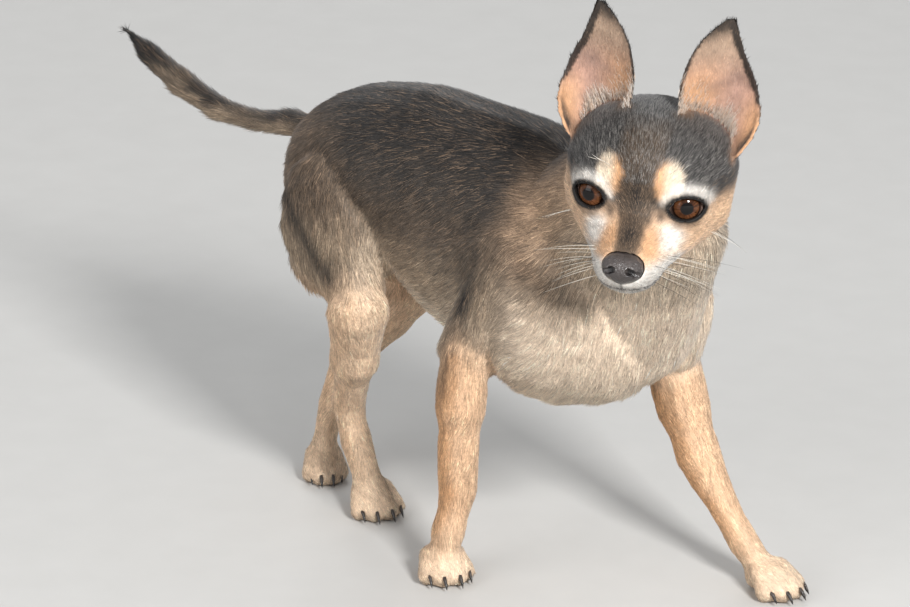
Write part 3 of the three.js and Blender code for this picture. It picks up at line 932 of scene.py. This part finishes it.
# Nose leather and claws: the solids made finer and rounder
def finer(names, voxel, rounds):
    mesh = applied(gathered(names, 0.05 * mm), "REMESH", mode="VOXEL", voxel_size=voxel * mm)
    return relaxed(mesh, rounds, lambda p: np.full(len(p), 0.8))


def noseMaterial():
    material, tree, skin = nodeTree("noseLeather")
    where = tree.nodes.new("ShaderNodeTexCoord")
    pebbles = tree.nodes.new("ShaderNodeTexVoronoi")
    pebbles.feature = "DISTANCE_TO_EDGE"
    pebbles.inputs["Scale"].default_value = 950
    tree.links.new(where.outputs["Object"], pebbles.inputs["Vector"])
    painted(tree, skin, grain(tree, 700, 4).outputs["Fac"], 0.7, 1.35)
    tree.links.new(ranged(tree, pebbles.outputs["Distance"], 0.5, 0.26, 0, 0.3), skin.inputs["Roughness"])
    skin.inputs["Specular IOR Level"].default_value = 0.6
    skin.inputs["Coat Weight"].default_value = 0.35
    skin.inputs["Coat Roughness"].default_value = 0.25
    raised(tree, skin, ranged(tree, pebbles.outputs["Distance"], 0, 1, 0, 0.25), 0.55, 0.00025)
    return material


def buildNose():
    mesh = finer(["nose"], 0.32, 7)
    points = pointsOf(mesh)
    h = onHead(points)
    nostril = np.linalg.norm((mirroredAcross(h) - (57, 4.2, -24.8)) * (0.55, 1, 1), axis=1)
    colour = mix(np.array((0.030, 0.023, 0.021)), np.array((0.052, 0.041, 0.037)), step(-26, -21, h[:, 2]))
    # Painted shade: the nostrils are painted near black inside
    colour = mix(colour, np.array((0.006, 0.004, 0.004)), step(2.4, 0.8, nostril))
    paint(mesh, colour)
    place("nose_leather", mesh, noseMaterial(), ["nose"])


def buildClaws():
    clawNames = sorted(name for name in nodes if "claw" in name)
    mesh = finer(clawNames, 0.3, 8)
    height = pointsOf(mesh)[:, 2] / mm
    paint(mesh, mix(np.array((0.012, 0.010, 0.009)), np.array((0.045, 0.034, 0.028)), step(2, 7, height)))
    place("claws", mesh, surface("darkHorn"), clawNames)


buildNose()
buildClaws()
print("nose and claws")


# Coat: thin closed tufts, each a flat spike on its own root
def groupOf(regions, roots):
    b = onBody(roots)
    kinds = byNode(coatKind, regions)
    front = byNode(lambda name: "fore" in name, regions)
    names = np.array(kinds, dtype=object)
    trunk = kinds == "torso"
    for side, here in ("Right", b[:, 1] < 0), ("Left", b[:, 1] >= 0):
        names[trunk & here & (b[:, 0] < -25)] = "flank" + side
        names[trunk & here & (b[:, 0] >= -25)] = "shoulder" + side
    leg = np.isin(kinds, ["upper_arm", "forearm", "thigh", "shank", "paw"])
    names[leg & front] = "foreLegs"
    names[leg & ~front] = "hindLegs"
    face = (kinds == "head") & (onHead(roots)[:, 0] > 6)
    names[face] = "face"
    return names.astype(str)


def tuftRoots():
    corner = skinPoints[skinTriangles]
    spans = np.cross(corner[:, 1] - corner[:, 0], corner[:, 2] - corner[:, 0])
    areas = np.linalg.norm(spans, axis=1) / 2 / mm ** 2
    first = skinTriangles[:, 0]
    regions = skinRegions[first]
    cover = coatCover(corner.mean(1), skinNormals[first], regions)
    wanted = areas * coatValues(regions, "count") * cover
    total = np.cumsum(wanted)
    amount = int(total[-1] * (1))
    pick = (np.arange(amount) + rng.random(amount)) * total[-1] / amount
    chosen = np.minimum(np.searchsorted(total, pick), len(total) - 1)
    a, c = rng.random(amount), rng.random(amount)
    over = a + c > 1
    a[over], c[over] = 1 - a[over], 1 - c[over]
    return chosen, np.stack([1 - a - c, a, c], 1)


# Where hair is thin or missing: the rims of the eyes, the nose and the hollow of the ears
def coatCover(points, normals, regions):
    h = onHead(points)
    cover = np.ones(len(points))
    for side in (-1, 1):
        cover *= step(9.0, 10.6, fromEye(h, side, 2))
    cover *= step(8.2, 9.6, np.linalg.norm((h - (53, 0, -25)) * (1, 1, 1.15), axis=1))
    n = normals @ headAxes.T
    inner = (byNode(coatKind, regions) == "ear") & (n[:, 0] * 0.9 + n[:, 1] * earSide(h) * 0.35 > 0.1)
    cover[inner] *= 0.35
    return cover


# How a tuft is set in the skin, in parts of its width, and how far its shading leans from the skin's
tuftPlan = {
    "sunk": 0.15 * mm, "ridge": 0.45, "ridgeBack": 0.3, "sideLean": 0.45, "ridgeLean": 0.1, "tipLean": 0.35,
    "faces": ((0, 3, 2), (2, 3, 1), (1, 3, 0), (0, 2, 1)),
    "patch": ((-0.5, -0.3), (0.5, -0.3), (0, -0.5), (0, 0.5)),
}


def growCoat():
    chosen, share = tuftRoots()
    tri = skinTriangles[chosen]

    def fromSkin(values):
        values = values[tri]
        return (values * share.reshape(share.shape + (1,) * (values.ndim - 2))).sum(1)

    roots = fromSkin(skinPoints)
    normals = unit(fromSkin(skinNormals))
    lie = pressed(fromSkin(skinLie), normals)
    regions = skinRegions[tri[:, 0]]
    sizes = {key: fromSkin(values) for key, values in coatSizes.items()}
    corners, shading = tuftShapes(roots, normals, lie, regions, sizes)
    colours = tuftTones(roots, regions, fromSkin(skinColours), fromSkin(skinTicks))
    flatRoots = (skinMap[chosen] * share[..., None]).sum(1)
    flat = flatRoots[:, None, :] + np.array(tuftPlan["patch"]) * mapPlan["tuft"]
    groups = groupOf(regions, roots)
    material = surface("shortCoat")
    for group in sorted(set(groups)):
        members = np.flatnonzero(groups == group)
        parts = max(1, math.ceil(len(members) / mapPlan["tuftsInPiece"]))
        for part in range(parts):
            name = f"coat_{group}_{part + 1}"
            buildTufts(name, members[part::parts], corners, shading, colours, flat, material)
    print("coat", len(roots), "tufts")


# Corners of each tuft, and which way each corner is shaded
def tuftShapes(roots, normals, lie, regions, sizes):
    count = len(roots)
    b, h = onBody(roots), onHead(roots)

    # Locks lean together, single tufts a little apart
    aside = np.cross(normals, lie)
    lean = drift(b, 5, 11) * 0.22 + drift(b, 14, 12) * 0.2 + rng.normal(0, 0.14, count)
    way = unit(lie + aside * lean[:, None])
    aside = np.cross(normals, way)
    length = sizes["length"] * mm * rng.uniform(0.6, 1.2, count)
    width = (sizes["width"] * mm * rng.uniform(0.7, 1.2, count))[:, None]
    lift = np.radians(sizes["lift"] * rng.uniform(0.2, 1.6, count))

    # Shorter towards the nose, round the eyes and at the end of the tail
    head = regions == fleshNames.index("head")
    length[head] *= (0.55 + 0.45 * step(44, 12, h[head, 0]))
    length *= np.where(regions == fleshNames.index("tail_tip"), 0.75, 1)
    near = np.ones(count)
    for side in (-1, 1):
        near *= 0.45 + 0.55 * step(9, 17, fromEye(h, side, 2))
    length *= np.where(head, near, 1)

    tips = roots + way * (length * np.cos(lift))[:, None] + normals * (length * np.sin(lift))[:, None]
    sunk = normals * tuftPlan["sunk"]
    corners = np.stack([
        roots - aside * width / 2 - sunk,
        roots + aside * width / 2 - sunk,
        roots + normals * width * tuftPlan["ridge"] - way * width * tuftPlan["ridgeBack"],
        tips,
    ], 1)
    shading = np.stack([
        unit(normals - aside * tuftPlan["sideLean"]), unit(normals + aside * tuftPlan["sideLean"]),
        unit(normals + way * tuftPlan["ridgeLean"]), unit(normals + way * tuftPlan["tipLean"]),
    ], 1)
    return corners, shading


# Each tuft has its own tone: ticked hairs run from black to tan, on the crown to silver
def tuftTones(roots, regions, colour, ticks):
    count = len(roots)
    b, h = onBody(roots), onHead(roots)
    head = regions == fleshNames.index("head")
    upright = np.isin(byNode(coatKind, regions), ["forearm", "shank", "upper_arm", "thigh"])
    streak = np.where(upright, drift(b * (1, 1, 0.22), 1.5, 21), drift(b * (0.22, 1, 0.7), 1.5, 22))
    tone = np.exp(rng.normal(0, 0.2, count) + streak * 0.3)
    tone *= np.exp(rng.normal(0, 0.45, count) * ticks)
    tipColour = colour * tone[:, None]
    ticked = (rng.random(count) < np.where(head, 0.34, 0.24) * ticks)[:, None]
    pale = tipColour * 0.5 + tint["fawn"] * rng.uniform(0.12, 0.6, (count, 1))
    crown = (head & (h[:, 2] > 4))[:, None]
    pale = np.where(crown, tint["silver"] * rng.uniform(0.5, 1.4, (count, 1)), pale)
    tipColour = np.where(ticked, tipColour * 0.4 + pale * 0.6, tipColour)
    rootColour = tipColour * 0.8
    return np.stack([rootColour, rootColour, rootColour, tipColour], 1)


def buildTufts(name, members, corners, shading, colours, flat, material):
    faces = np.array(tuftPlan["faces"])
    points = corners[members].reshape(-1, 3)
    triangles = (faces[None] + (np.arange(len(members)) * 4)[:, None, None]).reshape(-1, 3)
    mesh = meshFrom(name, points, triangles)
    paint(mesh, np.clip(colours[members].reshape(-1, 3), 0, 1))
    mapTo(mesh, flat[members][:, faces.ravel()].reshape(-1, 2))
    place(name, mesh, material)
    mesh.normals_split_custom_set_from_vertices(shading[members].reshape(-1, 3).tolist())


growCoat()
print("coat grown")


# Single long hairs: closed three-sided stems that bend and run out to a point
stemPlan = {"whisker": 0.13 * mm, "lash": 0.09 * mm, "earHair": 0.11 * mm, "sunk": 0.3 * mm}


def stems(name, roots, ways, bends, lengths, radius, colour, parts=7):
    count = len(roots)
    t = np.arange(parts + 1) / parts
    ways, bends = unit(ways), np.asarray(bends, float)
    lengths = np.asarray(lengths, float)[:, None, None]
    run = t[None, :, None]
    line = roots[:, None] + (ways[:, None] * run + bends[:, None] * run ** 2) * lengths
    side = unit(np.cross(ways, unit(np.array([0.31, 0.17, 0.93]))))
    other = np.cross(ways, side)
    rings = []
    for k in range(3):
        a = 2 * math.pi * k / 3
        off = (side * math.cos(a) + other * math.sin(a))[:, None] * (radius * (1 - t) ** 0.7)[None, :, None]
        rings.append((line + off)[:, :-1])
    body = np.stack(rings, 2).reshape(count, -1, 3)
    points = np.concatenate([body, line[:, -1:]], 1)
    each = points.shape[1]
    faces = [(0, 2, 1)]
    for k in range(parts - 1):
        for j in range(3):
            a, b = 3 * k + j, 3 * k + (j + 1) % 3
            faces += [(a, b, b + 3), (a, b + 3, a + 3)]
    low = 3 * (parts - 1)
    faces += [(low + j, low + (j + 1) % 3, each - 1) for j in range(3)]
    faces = np.array(faces)
    triangles = (faces[None] + (np.arange(count) * each)[:, None, None]).reshape(-1, 3)
    mesh = meshFrom(name, points.reshape(-1, 3), triangles)
    paint(mesh, np.repeat(colour, each, axis=0))
    place(name, mesh, surface("Hair", name))


# Nearest points of the skin to places on the head, with the way out of it there
skinTree = treeOf(skinPoints)


def onSkin(places):
    found = [skinTree.find(p)[1] for p in fromHead(places)]
    return skinPoints[found], skinNormals[found]


def growWhiskers():
    places, ways, lengths = [], [], []
    for side in (-1, 1):
        for row, height in enumerate((-24, -27, -30)):
            for k in range(5):
                places.append((46 - k * 3.4 - row, side * (9 + k * 0.8), height))
                ways.append((0.1 - 0.22 * k * 0.5, side * 1.0, -0.12 - 0.12 * row))
                lengths.append(rng.uniform(20, 34) - 2 * row)
        for k in range(4):
            places.append((27 - k * 1.2, side * (12 + k * 2), 9))
            ways.append((0.8, side * 0.35, 0.7))
            lengths.append(rng.uniform(9, 15))
        for k in range(3):
            places.append((14 - k * 2, side * 30, -20))
            ways.append((0.3, side * 1, -0.35))
            lengths.append(rng.uniform(12, 18))
    roots, normals = onSkin(places)
    count = len(roots)
    ways = unit(np.array(ways) + rng.normal(0, 0.09, (count, 3))) @ headAxes
    bends = (np.array([-0.28, 0, -0.22]) + rng.normal(0, 0.05, (count, 3))) @ headAxes
    pale = rng.random((count, 1)) < 0.72
    colour = np.where(pale, np.array([(0.72, 0.68, 0.6)]), np.array([(0.02, 0.016, 0.014)]))
    roots = roots - normals * stemPlan["sunk"]
    lengths = np.array(lengths) * mm
    stems("whiskers", roots, ways, bends, lengths, stemPlan["whisker"], colour, 9)


def growLashes():
    places, ways, bends = [], [], []
    for side in (-1, 1):
        ahead = eyeGaze[side]
        across = unit(np.cross([0, 0, 1], ahead)) * side
        rising = np.cross(ahead, across) * side
        for k in range(26):
            share = -0.75 + 1.5 * k / 25 + rng.normal(0, 0.02)
            way = unit(ahead + across * share * 1.1 + rising * (0.66 * (1 - share ** 2) + 0.04))
            places.append(eyePlaces[side] + way * (headPlan["eyeRadius"] + 1.9))
            ways.append(ahead * 0.7 + across * share * 0.6 - rising * 0.15)
            bends.append(rising * 0.5)
    count = len(places)
    ways = (np.array(ways) + rng.normal(0, 0.08, (count, 3))) @ headAxes
    bends = np.array(bends) @ headAxes
    colour = np.tile([(0.012, 0.010, 0.009)], (count, 1))
    lengths = rng.uniform(2.0, 3.4, count) * mm
    stems("lashes", fromHead(places), ways, bends, lengths, stemPlan["lash"], colour, 5)


# Long pale hairs that rise from the front root of each ear and along its inner edge
def growEarHairs():
    h, n = onHead(skinPoints), skinNormals @ headAxes.T
    ear = byNode(lambda name: name in earNames, skinRegions)
    near = ear | (step(10, 16, h[:, 2]) * step(38, 30, np.abs(h[:, 1])) > 0.5)
    inner = n[:, 0] * 0.9 + n[:, 1] * earSide(h) * 0.35
    low = step(30, 14, h[:, 2]) * (h[:, 2] > 11) * step(34, 29, np.abs(h[:, 1]))
    edge = step(24, 18, np.abs(h[:, 1])) * step(46, 20, h[:, 2]) * 0.5
    chance = near * (inner > 0.15) * (ear * np.maximum(low, edge * 0.8))
    chosen = rng.choice(len(chance), 1500, p=chance / chance.sum())
    count = len(chosen)
    side = earSide(h[chosen])[:, None]
    ways = np.array([0.3, 0, 1.0]) + np.array([0, 0.22, 0]) * side + rng.normal(0, 0.16, (count, 3))
    bends = np.array([-0.2, 0, 0.1]) + np.array([0, 0.12, 0]) * side + rng.normal(0, 0.12, (count, 3))
    lengths = rng.uniform(4, 9, count) * (0.5 + 0.5 * low[chosen])
    colour = mix(tint["fawn"], tint["white"], rng.random(count) ** 0.5)
    colour = np.clip(colour * rng.uniform(0.75, 1.05, (count, 1)), 0, 1)
    roots = skinPoints[chosen] - skinNormals[chosen] * stemPlan["sunk"]
    stems("ear_hairs", roots, ways @ headAxes, bends @ headAxes, lengths * mm, stemPlan["earHair"], colour,
          5)


growWhiskers()
growLashes()
growEarHairs()
print("whiskers, lashes and hairs of the ears")


# Stage, light and camera
cameraPlan = {
    "azimuth": 43, "elevation": 20, "distance": 2.5, "lens": 217.58, "sensor": 36,
    "aim": (-45.7, 11.7, 109.1),
}


def setStage():
    floor = meshFrom("floor", np.array([(-6, -6, 0), (6, -6, 0), (6, 6, 0), (-6, 6, 0)], float),
                     np.array([(0, 1, 2), (0, 2, 3)]))
    piece = bpy.data.objects.new("floor", floor)
    scene.collection.objects.link(piece)
    material, tree, skin = nodeTree("paleFloor")
    noise = grain(tree, 40, 3)
    shade = tree.nodes.new("ShaderNodeMix")
    shade.data_type = "RGBA"
    shade.inputs["A"].default_value = (0.50, 0.49, 0.47, 1)
    shade.inputs["B"].default_value = (0.54, 0.53, 0.51, 1)
    tree.links.new(noise.outputs["Fac"], shade.inputs["Factor"])
    tree.links.new(shade.outputs["Result"], skin.inputs["Base Color"])
    skin.inputs["Roughness"].default_value = 0.85
    floor.materials.append(material)


def setLights():
    world = bpy.data.worlds.new("softRoom")
    scene.world = world
    world.use_nodes = True
    world.node_tree.nodes["Background"].inputs["Color"].default_value = (0.93, 0.96, 1.0, 1)
    world.node_tree.nodes["Background"].inputs["Strength"].default_value = 0.52
    for name, where, size, power in (
        ("key", (1.85, -0.8, 1.3), 0.45, 66),
        ("fill", (-0.4, -2.2, 1.0), 1.6, 22),
        ("back", (-1.4, 1.3, 1.6), 1.0, 14),
    ):
        data = bpy.data.lights.new(name, "AREA")
        data.size, data.energy = size, power
        light = bpy.data.objects.new(name, data)
        light.location = where
        light.rotation_euler = (Vector((0, 0, 0.12)) - Vector(where)).to_track_quat("-Z", "Y").to_euler()
        scene.collection.objects.link(light)


def setCamera():
    a, e = math.radians(cameraPlan["azimuth"]), math.radians(cameraPlan["elevation"])
    back = Vector((math.sin(a) * math.cos(e), -math.cos(a) * math.cos(e), math.sin(e)))
    aim = Vector(bodyOrigin + np.array(cameraPlan["aim"]) * mm)
    data = bpy.data.cameras.new("camera")
    data.lens, data.sensor_width = cameraPlan["lens"], cameraPlan["sensor"]
    data.clip_end = 50
    camera = bpy.data.objects.new("camera", data)
    camera.location = aim + back * cameraPlan["distance"]
    camera.rotation_euler = (-back).to_track_quat("-Z", "Y").to_euler()
    scene.collection.objects.link(camera)
    scene.camera = camera


setStage()
setLights()
setCamera()
scene.view_settings.view_transform = "Standard"
print("stage")


def plain(box):
    return [[float(v) for v in corner] for corner in box]
